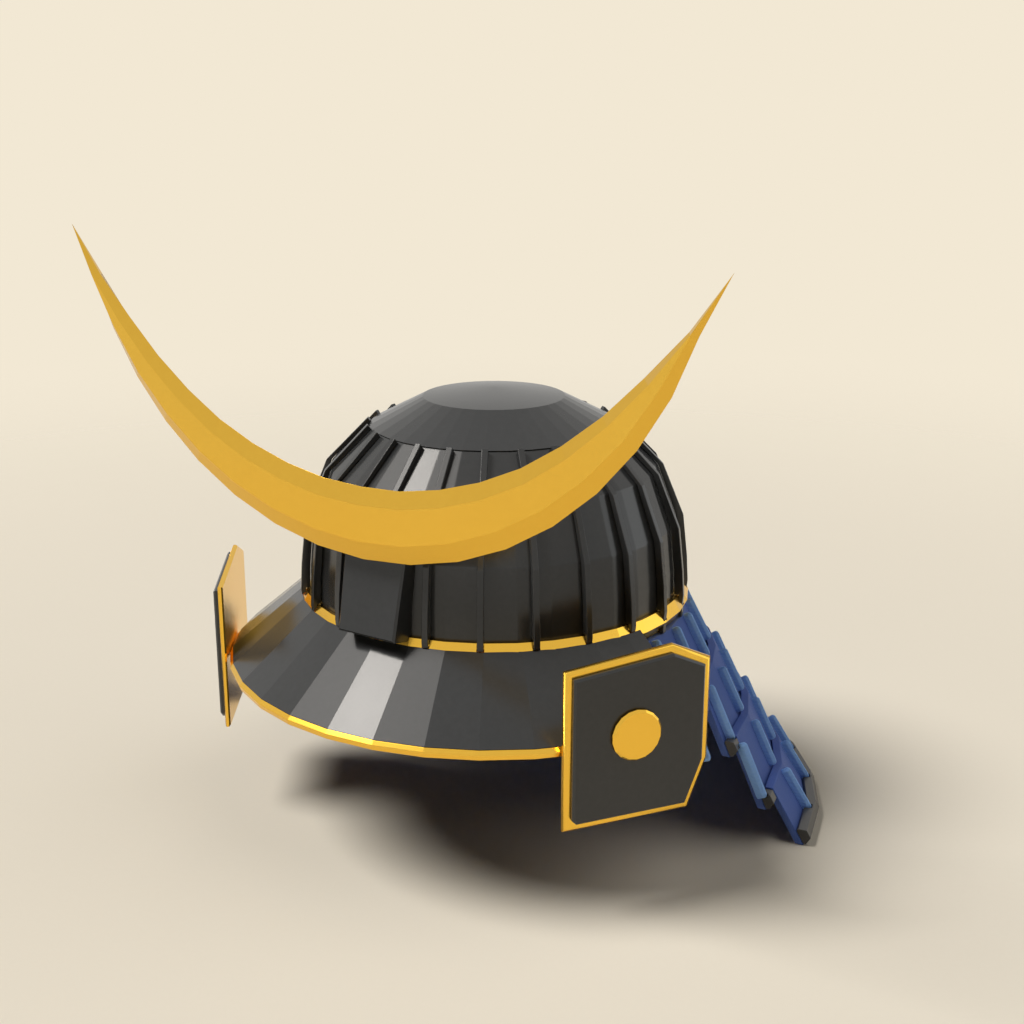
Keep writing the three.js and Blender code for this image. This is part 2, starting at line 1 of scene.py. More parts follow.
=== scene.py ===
# %% [markdown]
# # A kabuto, the helmet of a suit of samurai armour
#
# The real helmet is an iron bowl of riveted plates under black lacquer, with raised ribs, a gilt
# band round its foot, a brim over the brow, two turned-back wings, a gilt crescent on the brow and
# a neck guard of four laced lames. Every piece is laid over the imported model, so its place and
# main form come from there, and this notebook adds softened edges, finishes, light and a camera.

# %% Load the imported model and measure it
import math

import bmesh
import bpy
import numpy as np
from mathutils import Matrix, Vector


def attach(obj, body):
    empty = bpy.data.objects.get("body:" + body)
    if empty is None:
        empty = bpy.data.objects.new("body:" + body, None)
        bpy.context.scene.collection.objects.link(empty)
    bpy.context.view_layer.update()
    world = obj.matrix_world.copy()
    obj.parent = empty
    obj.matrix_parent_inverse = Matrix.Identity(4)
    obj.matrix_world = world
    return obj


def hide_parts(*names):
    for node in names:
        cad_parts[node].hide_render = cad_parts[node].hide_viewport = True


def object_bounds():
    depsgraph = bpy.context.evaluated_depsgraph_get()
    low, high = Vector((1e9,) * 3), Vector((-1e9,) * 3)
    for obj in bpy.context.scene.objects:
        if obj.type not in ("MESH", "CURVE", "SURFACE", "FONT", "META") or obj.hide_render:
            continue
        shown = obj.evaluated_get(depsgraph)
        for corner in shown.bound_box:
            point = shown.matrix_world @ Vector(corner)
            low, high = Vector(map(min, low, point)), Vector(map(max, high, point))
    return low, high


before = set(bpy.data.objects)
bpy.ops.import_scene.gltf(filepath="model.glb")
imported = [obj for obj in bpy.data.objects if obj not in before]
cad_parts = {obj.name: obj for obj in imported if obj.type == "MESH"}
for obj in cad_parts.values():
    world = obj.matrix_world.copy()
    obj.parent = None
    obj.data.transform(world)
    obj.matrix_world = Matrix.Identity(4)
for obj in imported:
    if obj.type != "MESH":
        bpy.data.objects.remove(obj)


scene = bpy.context.scene
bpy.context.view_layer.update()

# %% [markdown]
# ## Surfaces from arrays
#
# Most pieces here are one outline carried round the helmet's axis, as a potter's rib shapes a
# bowl. They could be spun with modifiers, but worked out as arrays the facets fall exactly where
# the smith's plates meet. A grid has a row for each step round the axis and a column for each
# corner of the outline. Faces join neighbours, and a Bevel modifier softens every crease.

# %% An outline carried or turned round the axis
MM = 0.001
GAP = 0.3            # air between pieces that touch, in millimetres


def carried_round(outline, degrees):
    """An outline carried round Z.

    Row a, column i is the point (r_i cos a, r_i sin a, z_i), for every corner (r_i, z_i) of the
    outline, in millimetres, and every angle a.
    """
    r, z = np.asarray(outline, float).T
    turn = np.radians(degrees)[:, None]
    return np.stack(np.broadcast_arrays(r * np.cos(turn), r * np.sin(turn), z), axis=-1)


def turned(points, degrees):
    """Points turned round Z: x' = x cos a - y sin a, y' = x sin a + y cos a."""
    a = np.radians(degrees)
    x, y, z = np.moveaxis(np.asarray(points, float), -1, 0)
    return np.stack(np.broadcast_arrays(
        x * np.cos(a) - y * np.sin(a), x * np.sin(a) + y * np.cos(a), z), axis=-1)


print("the brow, turned a quarter round:", turned((0, -100, 0), 90).round(1))


# %% Grids of points and the faces between them
def grid_faces(shape, round_rows, capped):
    """Faces of a stack of grids of shape (parts, rows, columns).

    Each point is joined to the next row and the next column. The last column is joined to the
    first, and so are rows that go all the way round. Capped grids get a face over each end row.
    """
    parts, rows, columns = shape
    index = np.arange(rows * columns).reshape(rows, columns)
    if round_rows:
        index = np.vstack([index, index[:1]])
    index = np.hstack([index, index[:, :1]])
    square = np.stack(
        [index[:-1, :-1], index[1:, :-1], index[1:, 1:], index[:-1, 1:]], axis=-1)
    step = (np.arange(parts) * rows * columns)[:, None, None]
    faces = (square.reshape(1, -1, 4) + step).reshape(-1, 4).tolist()
    if capped:
        ends = np.stack([np.arange(columns)[::-1], np.arange(columns) + (rows - 1) * columns])
        faces += (ends[None] + step).reshape(-1, columns).tolist()
    return faces


def solid(points, round_rows=False, capped=True):
    """Vertices and faces of one grid, or of a stack of grids, given in millimetres."""
    points = np.asarray(points, float)
    if points.ndim == 3:
        points = points[None]
    return points.reshape(-1, 3) * MM, grid_faces(points.shape[:3], round_rows, capped)


def joined(*solids):
    """Several solids as one list of vertices and one list of faces."""
    vertices, faces, start = [], [], 0
    for points, own in solids:
        vertices.append(points)
        faces += [[i + start for i in face] for face in own]
        start += len(points)
    return np.vstack(vertices), faces


print("faces of a closed tube, 3 rows by 4 columns:", len(grid_faces((1, 3, 4), False, True)))

# %% [markdown]
# ## From a solid to a finished piece
#
# Nothing on a real helmet ends in a knife edge, and lacquer and gilding round every crease a
# little more. A subdivided surface would swell the flat plates, so each piece keeps its plain
# facets and a narrow Bevel modifier softens the edges between them. Pieces that are cut to fit
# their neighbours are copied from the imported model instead, and the copy is welded first.

# %% Soften the creases
CREASE_ANGLE = 4.0   # of arrays: faces that meet more sharply than this are softened, in degrees
CUT_ANGLE = 12.0     # of cut copies, which have finer steps to leave alone


def soften(obj, width, segments, angle):
    """Rounds every crease sharper than the angle, and keeps the faces between them flat."""
    bevel = obj.modifiers.new("Softened creases", "BEVEL")
    bevel.width = width * MM
    bevel.segments = segments
    bevel.limit_method = "ANGLE"
    bevel.angle_limit = math.radians(angle)
    bevel.harden_normals = True
    bevel.use_clamp_overlap = True
    bevel.miter_outer = "MITER_ARC"


def dress(obj, material, nodes, crease, segments=2, angle=CREASE_ANGLE):
    """Links an object, gives it its finish, and hides the imported nodes that it stands for."""
    scene.collection.objects.link(obj)
    obj.data.materials.clear()
    obj.data.materials.append(material)
    soften(obj, crease, segments, angle)
    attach(obj, "root")
    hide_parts(*nodes)
    print(f"{obj.name}: {len(obj.data.polygons)} faces before bevels, for {len(nodes)} node(s)")
    return obj


# %% Make a piece from a solid, or from a copy of cut pieces
WELD = 2e-6          # points closer than this are one point, in metres
ONE_PLANE = 0.6      # faces that lean less than this against each other are one, in degrees


def finish_mesh(mesh, flatten=False, smooth=True):
    """Welds doubled points, turns all faces outwards, and shades them smooth or flat.

    Where it is asked to flatten, triangles of one plane are joined first.
    """
    shape = bmesh.new()
    shape.from_mesh(mesh)
    bmesh.ops.remove_doubles(shape, verts=shape.verts, dist=WELD)
    if flatten:
        bmesh.ops.dissolve_limit(
            shape, angle_limit=math.radians(ONE_PLANE), verts=shape.verts, edges=shape.edges)
    bmesh.ops.recalc_face_normals(shape, faces=shape.faces)
    shape.to_mesh(mesh)
    shape.free()
    mesh.polygons.foreach_set("use_smooth", np.full(len(mesh.polygons), smooth))
    mesh.update()


def make(name, shape, material, nodes, crease=0.5, segments=2):
    """One finished piece: its mesh, material, softened creases and the nodes it stands for."""
    vertices, faces = shape
    mesh = bpy.data.meshes.new(name)
    mesh.from_pydata(vertices.tolist(), [], faces)
    finish_mesh(mesh)
    return dress(bpy.data.objects.new(name, mesh), material, nodes, crease, segments)


def softened_copy(name, nodes, material, crease, smooth=False):
    """A copy of cut pieces, welded, with coplanar triangles joined, and then softened.

    It is shaded flat, because a cut leaves short edges beside which a bevel has little room.
    """
    copy = bmesh.new()
    for node in nodes:
        copy.from_mesh(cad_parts[node].data)
    mesh = bpy.data.meshes.new(name)
    copy.to_mesh(mesh)
    copy.free()
    finish_mesh(mesh, flatten=True, smooth=smooth)
    return dress(bpy.data.objects.new(name, mesh), material, nodes, crease, angle=CUT_ANGLE)


# %% [markdown]
# ## Finishes
#
# Three finishes cover the helmet: gilt copper, black urushi lacquer, and indigo silk lacing. Image
# textures could carry their wear, but procedural noise on object coordinates has no seams and
# stays sharp at any distance. Effects that several finishes share are node groups, which only
# feed colour, roughness and bump, so the shader itself stays in each material.

# %% A small kit for node trees
def node(tree, kind, **settings):
    """Adds a node. Settings that name one of its sockets set that socket's value."""
    made = tree.nodes.new(kind)
    for key, value in settings.items():
        label = key.replace("_", " ")
        if label in made.inputs:
            made.inputs[label].default_value = value
        else:
            setattr(made, key, value)
    return made


def effect(name, inputs, outputs):
    """An empty node group with named sockets: (label, kind, value) for each input."""
    tree = bpy.data.node_groups.new(name, "ShaderNodeTree")
    for label, kind, value in inputs:
        tree.interface.new_socket(label, in_out="INPUT", socket_type=kind).default_value = value
    for label, kind in outputs:
        tree.interface.new_socket(label, in_out="OUTPUT", socket_type=kind)
    return tree, tree.nodes.new("NodeGroupInput"), tree.nodes.new("NodeGroupOutput")


def use(tree, group, **values):
    """Puts a node group into a material and sets its sockets."""
    made = tree.nodes.new("ShaderNodeGroup")
    made.node_tree = group
    for key, value in values.items():
        made.inputs[key.replace("_", " ")].default_value = value
    return made


def maths(tree, operation, first, second=None, clamp=False):
    """A Math node fed by two sockets or numbers; gives its output socket."""
    made = tree.nodes.new("ShaderNodeMath")
    made.operation = operation
    made.use_clamp = clamp
    for socket, value in zip(made.inputs, (first, second)):
        if isinstance(value, (int, float)):
            socket.default_value = value
        elif value is not None:
            tree.links.new(value, socket)
    return made.outputs[0]


def colour_mix(tree, share, first, second):
    """A colour between two: the first where the share is 0, and the second where it is 1."""
    mix = node(tree, "ShaderNodeMix", data_type="RGBA")
    mix.inputs[6].default_value, mix.inputs[7].default_value = (*first, 1.0), (*second, 1.0)
    tree.links.new(share, mix.inputs[0])
    return mix.outputs[2]


def blank_material(name):
    """A material, its node tree, its shader, and the Object coordinates for its patterns."""
    material = bpy.data.materials.new(name)
    material.use_nodes = True
    tree = material.node_tree
    place = node(tree, "ShaderNodeTexCoord").outputs["Object"]
    return material, tree, tree.nodes["Principled BSDF"], place


print("node kit: node, effect, use, maths, colour_mix, blank_material")

# %% [markdown]
# ### Handling wear
#
# Hands, cloth and storage polish some patches of lacquer and gilding and dull others, in soft
# clouds a few centimetres wide with fine specks in them. Two noises of different size, mixed, do
# this. The same group serves every finish, with its own sizes set on the sockets.

# %% Node group: clouds of wear
F, V = "NodeSocketFloat", "NodeSocketVector"
wear, enter, leave = effect(
    "Clouds of wear",
    [("Vector", V, (0, 0, 0)), ("Cloud Scale", F, 14.0), ("Speck Scale", F, 260.0),
     ("Specks", F, 0.35), ("Low", F, 0.0), ("High", F, 1.0)],
    [("Value", F)])
cloud = node(wear, "ShaderNodeTexNoise", Detail=3.0, Roughness=0.55)
speck = node(wear, "ShaderNodeTexNoise", Detail=2.0, Roughness=0.6)
for noise, label in ((cloud, "Cloud Scale"), (speck, "Speck Scale")):
    wear.links.new(enter.outputs["Vector"], noise.inputs["Vector"])
    wear.links.new(enter.outputs[label], noise.inputs["Scale"])
blend = node(wear, "ShaderNodeMix", data_type="FLOAT")
wear.links.new(enter.outputs["Specks"], blend.inputs[0])
wear.links.new(cloud.outputs["Fac"], blend.inputs[2])
wear.links.new(speck.outputs["Fac"], blend.inputs[3])
spread = node(wear, "ShaderNodeMapRange", From_Min=0.3, From_Max=0.7)
wear.links.new(blend.outputs[0], spread.inputs["Value"])
wear.links.new(enter.outputs["Low"], spread.inputs["To Min"])
wear.links.new(enter.outputs["High"], spread.inputs["To Max"])
wear.links.new(spread.outputs["Result"], leave.inputs["Value"])
print("effect:", wear.name)

# %% [markdown]
# ### A tool-marked skin
#
# Under the lacquer and the gilding lie hammer marks a few millimetres wide, and the last coat
# leaves a faint skin of its own. A slow noise and a fine one, added as a height, give both.

# %% Node group: tool-marked skin
skin, enter, leave = effect(
    "Tool-marked skin",
    [("Vector", V, (0, 0, 0)), ("Mark Scale", F, 90.0), ("Grain Scale", F, 900.0),
     ("Grain", F, 0.15)],
    [("Height", F)])
marks = node(skin, "ShaderNodeTexNoise", Detail=1.0)
grain = node(skin, "ShaderNodeTexNoise", Detail=3.0)
for noise, label in ((marks, "Mark Scale"), (grain, "Grain Scale")):
    skin.links.new(enter.outputs["Vector"], noise.inputs["Vector"])
    skin.links.new(enter.outputs[label], noise.inputs["Scale"])
fine = maths(skin, "MULTIPLY", grain.outputs["Fac"], enter.outputs["Grain"])
skin.links.new(maths(skin, "ADD", marks.outputs["Fac"], fine), leave.inputs["Height"])
print("effect:", skin.name)


# %% [markdown]
# ### One recipe for every hard finish
#
# Gilding and lacquer differ in colour, metal and gloss, but they wear in the same way. So one
# function builds both: two clouds of wear of different size drift the colour and the roughness,
# and the tool-marked skin goes through a Bump node.

# %% Hard finishes
def hard_finish(name, light, dark, metallic, rough, coat, bump, mark_scale):
    """A lacquered or gilt surface: colour and roughness drift with the wear, over a marked skin."""
    material, tree, shader, place = blank_material(name)
    colour_wear = use(tree, wear, Cloud_Scale=11.0, Specks=0.4)
    rough_wear = use(tree, wear, Cloud_Scale=19.0, Specks=0.3, Low=rough[0], High=rough[1])
    relief = use(tree, skin, Mark_Scale=mark_scale)
    for group in (colour_wear, rough_wear, relief):
        tree.links.new(place, group.inputs["Vector"])
    tree.links.new(colour_mix(tree, colour_wear.outputs["Value"], dark, light),
                   shader.inputs["Base Color"])
    tree.links.new(rough_wear.outputs["Value"], shader.inputs["Roughness"])
    raised = node(tree, "ShaderNodeBump", Strength=bump, Distance=0.0004)
    tree.links.new(relief.outputs["Height"], raised.inputs["Height"])
    tree.links.new(raised.outputs["Normal"], shader.inputs["Normal"])
    shader.inputs["Metallic"].default_value = metallic
    shader.inputs["Coat Weight"].default_value = coat
    shader.inputs["Coat Roughness"].default_value = 0.18
    return material


# %% [markdown]
# ### Gilt
#
# The crest, the wings' plates and the rims are gilded copper. A coloured metal with no coat shows
# the warm studio in its own tint. Its wear is a slightly browner, duller gold. The crest's chamfers
# are painted a shade darker than its flat face, as painted shade for the dimmer room they mirror.
# A second gold could carry that, but a tone stored on each face keeps one recipe, and a node
# multiplies the colour by it.

# %% Gilt
gilt = hard_finish("Gilt copper", light=(0.99, 0.595, 0.078), dark=(0.96, 0.560, 0.070),
                   metallic=1.0, rough=(0.18, 0.23), coat=0.0, bump=0.05, mark_scale=70.0)


# %% Gilt whose faces carry different tones of painted shade
def face_toned(finish, name):
    """A copy of a finish, its colour multiplied by the tone that each face of a piece carries."""
    material = finish.copy()
    material.name = name
    tree = material.node_tree
    base = tree.nodes["Principled BSDF"].inputs["Base Color"]
    tone = node(tree, "ShaderNodeAttribute", attribute_name="Tone")
    mix = node(tree, "ShaderNodeMix", data_type="RGBA", blend_type="MULTIPLY")
    mix.inputs[0].default_value = 1.0
    tree.links.new(base.links[0].from_socket, mix.inputs[6])
    tree.links.new(tone.outputs["Color"], mix.inputs[7])
    tree.links.new(mix.outputs[2], base)
    return material


# the crescent's gilt: its chamfers carry painted shade, stored as a tone on each face
shade_painted_gilt = face_toned(gilt, "Gilt with painted shade")
print("gilding:", gilt.name, "and", shade_painted_gilt.name)

# %% [markdown]
# ### Black lacquer
#
# Urushi dries to a deep black and mirrors the room softly. A dark base that is a little rough
# gives that without a coat. The rods of the neck guard are rubbed by every lame that slides over
# them, so theirs is rougher.

# %% Black lacquer, and the duller lacquer of the dark rods on the neck guard
lacquer = hard_finish("Black lacquer", light=(0.040, 0.042, 0.044), dark=(0.032, 0.0335, 0.035),
                      metallic=0.0, rough=(0.16, 0.21), coat=0.0, bump=0.05, mark_scale=60.0)
dull_lacquer = hard_finish("Dull lacquer", light=(0.050, 0.049, 0.047), dark=(0.037, 0.036, 0.035),
                           metallic=0.0, rough=(0.30, 0.38), coat=0.1, bump=0.1, mark_scale=120.0)
print("lacquers:", lacquer.name, "and", dull_lacquer.name)

# %% [markdown]
# ### Indigo silk
#
# Lames are hung by flat braided silk cords, dyed with indigo. A braid shows small chevrons that
# point down along its middle. The cords stand at even angles round the helmet, so the distance
# from the nearest cord's middle line follows from the angle alone: angle from the back, divided
# by the step between cords, minus the nearest whole number, times the step and the radius.

# %% Node group: place on a cord
LACE_STEP = 12.0     # degrees from one cord to the next
on_cord, enter, leave = effect(
    "Place on a cord",
    [("Vector", V, (0, 0, 0)), ("Step", F, math.radians(LACE_STEP))],
    [("Across", F), ("Along", F), ("Round", F)])
split = node(on_cord, "ShaderNodeSeparateXYZ")
on_cord.links.new(enter.outputs["Vector"], split.inputs["Vector"])
x, y, z = split.outputs
angle = maths(on_cord, "ARCTAN2", x, y)
turns = maths(on_cord, "DIVIDE", angle, enter.outputs["Step"])
off = maths(on_cord, "SUBTRACT", turns, maths(on_cord, "ROUND", turns))
radius = maths(on_cord, "SQRT", maths(
    on_cord, "ADD", maths(on_cord, "MULTIPLY", x, x), maths(on_cord, "MULTIPLY", y, y)))
arc = maths(on_cord, "MULTIPLY", off, enter.outputs["Step"])
on_cord.links.new(maths(on_cord, "MULTIPLY", arc, radius), leave.inputs["Across"])
on_cord.links.new(z, leave.inputs["Along"])
on_cord.links.new(maths(on_cord, "MULTIPLY", angle, radius), leave.inputs["Round"])
print("effect:", on_cord.name)


# %% Silk
def silk(name, light, dark, pitch, braided):
    """Silk with raised threads.

    sin(2 pi (along + |across|) / pitch) gives a braid's chevrons, with across measured from the
    cord's middle. Laid rows take the sine of the way round alone. The colour follows the same
    height, so the grooves between the threads carry painted shade, mixed with clouds of real fading.
    """
    material, tree, shader, place = blank_material(name)
    cord_place = use(tree, on_cord)
    fade = use(tree, wear, Cloud_Scale=24.0, Speck_Scale=700.0, Specks=0.5)
    tree.links.new(place, cord_place.inputs["Vector"])
    tree.links.new(place, fade.inputs["Vector"])
    if braided:
        way = maths(tree, "ADD", cord_place.outputs["Along"],
                    maths(tree, "ABSOLUTE", cord_place.outputs["Across"]))
    else:
        way = cord_place.outputs["Round"]
    wave = maths(tree, "SINE", maths(tree, "MULTIPLY", way, 2 * math.pi / pitch))
    height = maths(tree, "ADD", maths(tree, "MULTIPLY", wave, 0.5),
                   maths(tree, "MULTIPLY", fade.outputs["Value"], 0.5))
    # painted shade: the colour darkens in the grooves between threads, and drifts with the fading
    # clouds
    share = maths(tree, "MULTIPLY", maths(tree, "ADD", height, 0.5), 0.6, clamp=True)
    tree.links.new(colour_mix(tree, share, dark, light), shader.inputs["Base Color"])
    raised = node(tree, "ShaderNodeBump", Strength=0.35, Distance=0.00025)
    tree.links.new(height, raised.inputs["Height"])
    tree.links.new(raised.outputs["Normal"], shader.inputs["Normal"])
    rough = node(tree, "ShaderNodeMapRange", To_Min=0.55, To_Max=0.75)
    tree.links.new(fade.outputs["Value"], rough.inputs["Value"])
    tree.links.new(rough.outputs["Result"], shader.inputs["Roughness"])
    shader.inputs["Specular IOR Level"].default_value = 0.3
    return material


cord_silk = silk("Braided cord", light=(0.290, 0.530, 1.0), dark=(0.260, 0.490, 1.0),
                 pitch=0.0021, braided=True)
laid_silk = silk("Laid silk", light=(0.100, 0.175, 0.520), dark=(0.082, 0.146, 0.450),
                 pitch=0.0014, braided=False)
print("finishes:", [m.name for m in bpy.data.materials])

# %% [markdown]
# ## The bowl
#
# The bowl is raised from iron plates, so it is not round but has flat faces with soft creases. Its
# outline is carried round in thirty-six steps, out and back in again for the inner wall, so the
# shell has its real thickness and the head can go into it. The cap on the crown is a low plate of
# two slopes, made in the same way, whose rim overhangs the bowl by less than a millimetre.

# %% Bowl and cap
FACETS = 36
FACET_STEP = 360 / FACETS
WALL = 2.5
# Both outlines are rows of (r, z) in millimetres: the bowl's runs from its foot to the crown, and
# the cap's from its rim over the top to the axis and back underneath.
BOWL = np.array([(112.7, -12.2), (112.9, 0), (112.3, 15.8), (109.7, 41.1),
                 (98.0, 72.7), (73.4, 96.6), (41.5, 110.4), (0, 115.2)])
CAP = [(73.3, 96.75), (73.75, 97.1), (42.3, 113.2), (0, 118), (0, 115.3), (41.5, 110.5)]
all_round = np.arange(FACETS) * FACET_STEP


def walled(outline, thickness):
    """The outline followed by its copy one wall thickness nearer to the inside.

    Each corner moves at right angles to the line through its two neighbours.
    """
    along = np.gradient(outline, axis=0)
    along /= np.linalg.norm(along, axis=1, keepdims=True)
    inner = outline - np.stack([along[:, 1], -along[:, 0]], axis=1) * thickness
    inner[0, 1] = outline[0, 1]
    inner[-1] = (0, outline[-1, 1] - thickness)
    return np.vstack([outline, inner[::-1]])


def spun(outline):
    """An outline carried all the way round, closed on itself."""
    return solid(carried_round(outline, all_round), round_rows=True, capped=False)


make("bowl_shell", spun(walled(BOWL, WALL)), lacquer, ["bowl"], crease=0.8)
make("crown_plate", spun(CAP), lacquer, ["top_cap"], crease=0.15)

# %% [markdown]
# ## The gilt band
#
# A rolled band grips the bowl's foot. The ribs run through it, so it is notched at each of them.
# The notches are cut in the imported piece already, so a welded copy of it is used.

# %% Band
softened_copy("foot_band", ["base_band"], gilt, crease=0.5)

# %% [markdown]
# ## The brim
#
# The brim is one plate, bent downwards in facets as wide as the smith's hammer blocks. Its
# outline is a strip that slopes away from the band and tucks under a rolled gilt edge, carried
# from one temple to the other.

# %% The brim's facets and its fall
BROW, BACK = -90.0, 90.0                 # directions of the brow and of the nape, in degrees
BRIM_STEP, BRIM_END = 10.3, 77.9         # width of a facet, and the temple, from the brow
BRIM_STEPS = 8
BRIM_TOP = {"r": 117.35, "z": -3.6, "slope": 0.845}
half = np.append(np.arange(BRIM_STEPS) * BRIM_STEP, BRIM_END)
brim_angles = BROW + np.append(-half[:0:-1], half)


def brim_top(r):
    """Height of the brim's upper face: it falls by its slope for each millimetre outwards."""
    return BRIM_TOP["z"] - (np.asarray(r, float) - BRIM_TOP["r"]) * BRIM_TOP["slope"]


def hexagon(r, z, size, turned_up=0.0):
    """Six corners round (r, z). One of them points away from the axis, or that far up from it."""
    turn = np.radians(60 * np.arange(6) + turned_up)
    return np.stack([r + size * np.cos(turn), z + size * np.sin(turn)], axis=1)


print("brim facets:", len(brim_angles) - 1)

# %% Brim and its rolled edge
BRIM_THICK = 3.0
BRIM_IN, BRIM_OUT = 117.5, 161.2                   # edges of the upper face
BRIM_IN_BELOW, BRIM_OUT_BELOW = 118.6, 157.9       # edges of the lower face
OVER_TRIM, OVER_BAND = (158.2, -40.75), (118.95, -6.2)    # corners cut clear of trim and band
BRIM = [(BRIM_IN, brim_top(BRIM_IN)), (BRIM_OUT, brim_top(BRIM_OUT)), OVER_TRIM,
        (BRIM_OUT_BELOW, brim_top(BRIM_OUT_BELOW) - BRIM_THICK),
        (BRIM_IN_BELOW, brim_top(BRIM_IN_BELOW) - BRIM_THICK), OVER_BAND]
TRIM = {"r": 159.9, "z": -43.8, "size": 3.3, "turned_up": 12.0}    # top face along the brim's fall
make("brim_plate", solid(carried_round(BRIM, brim_angles)), lacquer, ["brim"],
     crease=0.5)
make("rolled_edge", solid(carried_round(hexagon(**TRIM), brim_angles)),
     gilt, ["brim_trim"], crease=0.55)

# %% [markdown]
# ## The ribs
#
# Each seam between the bowl's plates is covered by a standing rib. A rib is a flat bar cut to the
# bowl's curve. All of them are one stack of grids with two rows each, the left and right side of
# a bar, and ribs over the brim stop just above it.

# %% Outlines of the ribs
RIBS = 24
RIB_WIDTH = 3.7
RIB_EDGE = np.array([(117.8, -13.2), (117.9, -4.5), (118.3, 0), (117.3, 15.8),
                     (114.4, 41.1), (101.4, 72.7), (75.6, 99.0)])    # (r, z) up the outer edge
RIB_TIP = np.array([2.0, 2.9])       # how far inwards and down its upper end is cut back
RIB_LIP = 0.75                       # height at which a rib steps out over the band
RIB_FLOOR = 115.4                    # distance of that step from the axis
SHORT_FOOT, SHORT_STEP = 117.85, (118.1, -1.7)    # of the ribs that stop over the brim
LIFT = 0.4                           # air between those ribs and the brim
rib_angles = BROW + np.arange(RIBS) * 360 / RIBS
over_brim = np.abs((rib_angles - BROW + 180) % 360 - 180) < BRIM_END


def rib_outlines():
    """One outline for each rib, from its foot up its outer edge and down along the bowl.

    Halfway between two creases the bowl's face is nearer to the axis by the cosine of half a
    facet, and every second rib stands there.
    """
    nearer = np.where(rib_angles % FACET_STEP > 0, math.cos(math.pi / FACETS), 1.0)
    outer = np.repeat(RIB_EDGE[None], RIBS, axis=0)
    inner = np.repeat(BOWL[1:6][None], RIBS, axis=0)
    inner[:, :, 0] = inner[:, :, 0] * nearer[:, None] + GAP
    inner[:, 0, 1] = RIB_LIP
    inner[:, 4] = RIB_EDGE[-1] - RIB_TIP
    foot = np.array([(RIB_FLOOR, RIB_LIP), (RIB_FLOOR, RIB_EDGE[0][1])])
    foot = np.repeat(foot[None], RIBS, axis=0)
    outer[over_brim, 0] = (SHORT_FOOT, brim_top(SHORT_FOOT) + LIFT)
    outer[over_brim, 1] = SHORT_STEP
    foot[over_brim, 1] = (RIB_FLOOR, brim_top(RIB_FLOOR) + LIFT)
    return np.concatenate([outer, inner[:, ::-1], foot], axis=1)


print("ribs:", RIBS, "of which", int(over_brim.sum()), "stop over the brim")


# %% Ribs
def ribs():
    """Each outline at half a width to either side, turned to its rib's angle."""
    outline = rib_outlines()[:, None]
    side = np.array([-0.5, 0.5])[None, :, None] * RIB_WIDTH
    r, z, y = np.broadcast_arrays(outline[..., 0], outline[..., 1], side)
    return turned(np.stack([r, y, z], axis=-1), rib_angles[:, None, None])


make("standing_ribs", solid(ribs()), lacquer,
     [f"rib_{n + 1:02d}" for n in range(RIBS)], crease=0.45)

# %% [markdown]
# ## The crest holder
#
# A plain lacquered block on the brow takes the crest's peg. Its back is cut to the bowl and the
# band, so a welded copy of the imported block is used.

# %% Crest holder
softened_copy("crest_block", ["crest_holder"], lacquer, crease=0.5)

# %% [markdown]
# ## The crescent
#
# The crest is a crescent of gilt copper with a flat face and a bevel along each edge. Its section
# is a flattened hexagon, and it changes along the horn as a short table says. Between two rows of
# the table every measure runs in a straight line, and at the tips it shrinks to a point. A peg on
# its back goes into the holder.

# %% Sections of the crescent
CREST_Y, CREST_CENTRE_Z = -126.5, 250.6      # its middle plane, and the middle of its circle
CREST_DEPTH, CREST_STEPS = 4.4, 18           # half its thickness, and sections from tip to tip
CREST = {
    "angle": [0, 15, 30, 45, 54, 63, 71.1, 79.8],      # from straight down, in degrees
    "outer": [205.4, 205.4, 205.4, 205.4, 205.4, 205.4, 205.4, 213.1],
    "width": [40.7, 39.3, 35.3, 28.6, 22.9, 15.6, 5.1, 0],
    "outer bevel": [11.2, 11.0, 10.0, 8.2, 6.7, 5.4, 2.4, 0],
    "inner bevel": [9.2, 9.0, 8.5, 7.3, 6.0, 4.9, 2.4, 0],
    "depth": [1, 1, 1, 1, 1, 1, 0.9, 0],
}


def crescent():
    """Sections along the horns: (rho sin a, y, centre - rho cos a) for each corner (rho, y)."""
    a = np.linspace(-1, 1, CREST_STEPS + 1) * CREST["angle"][-1]
    outer, width, bevel_out, bevel_in, depth = (
        np.interp(np.abs(a), CREST["angle"], CREST[column])
        for column in ("outer", "width", "outer bevel", "inner bevel", "depth"))
    flat_out, flat_in = outer - bevel_out, outer - width + bevel_in
    rho = np.stack([outer, flat_out, flat_in, outer - width, flat_in, flat_out], axis=1)
    out = np.array([0, -1, -1, 0, 1, 1]) * CREST_DEPTH * depth[:, None]
    turn = np.radians(a)[:, None]
    return np.stack([rho * np.sin(turn), CREST_Y + out, CREST_CENTRE_Z - rho * np.cos(turn)],
                    axis=-1)


print("crescent sections:", crescent().shape[0])

# %% Crescent with its peg
PEG = {"x": (-9, 9), "y": (-123.6, -109), "z": (57.5, 65.5)}


def block(x, y, z):
    """The eight corners of a block between two values of x, y and z, as two rows of four."""
    ring = np.array([(x[0], z[0]), (x[1], z[0]), (x[1], z[1]), (x[0], z[1])], float)
    return np.stack([np.insert(ring, 1, y[0], axis=1), np.insert(ring, 1, y[1], axis=1)])


crest = make("crescent_crest", joined(solid(crescent(), capped=False), solid(block(**PEG))),
             shade_painted_gilt, ["crescent"], crease=0.7)

# %% Paint shade on the crescent's chamfers
CHAMFER_SHADE = 0.89      # painted shade: the chamfers are coloured this much darker than the face
FACE_LEAN = 6.0          # a face leaning less than this from the middle plane keeps its full colour
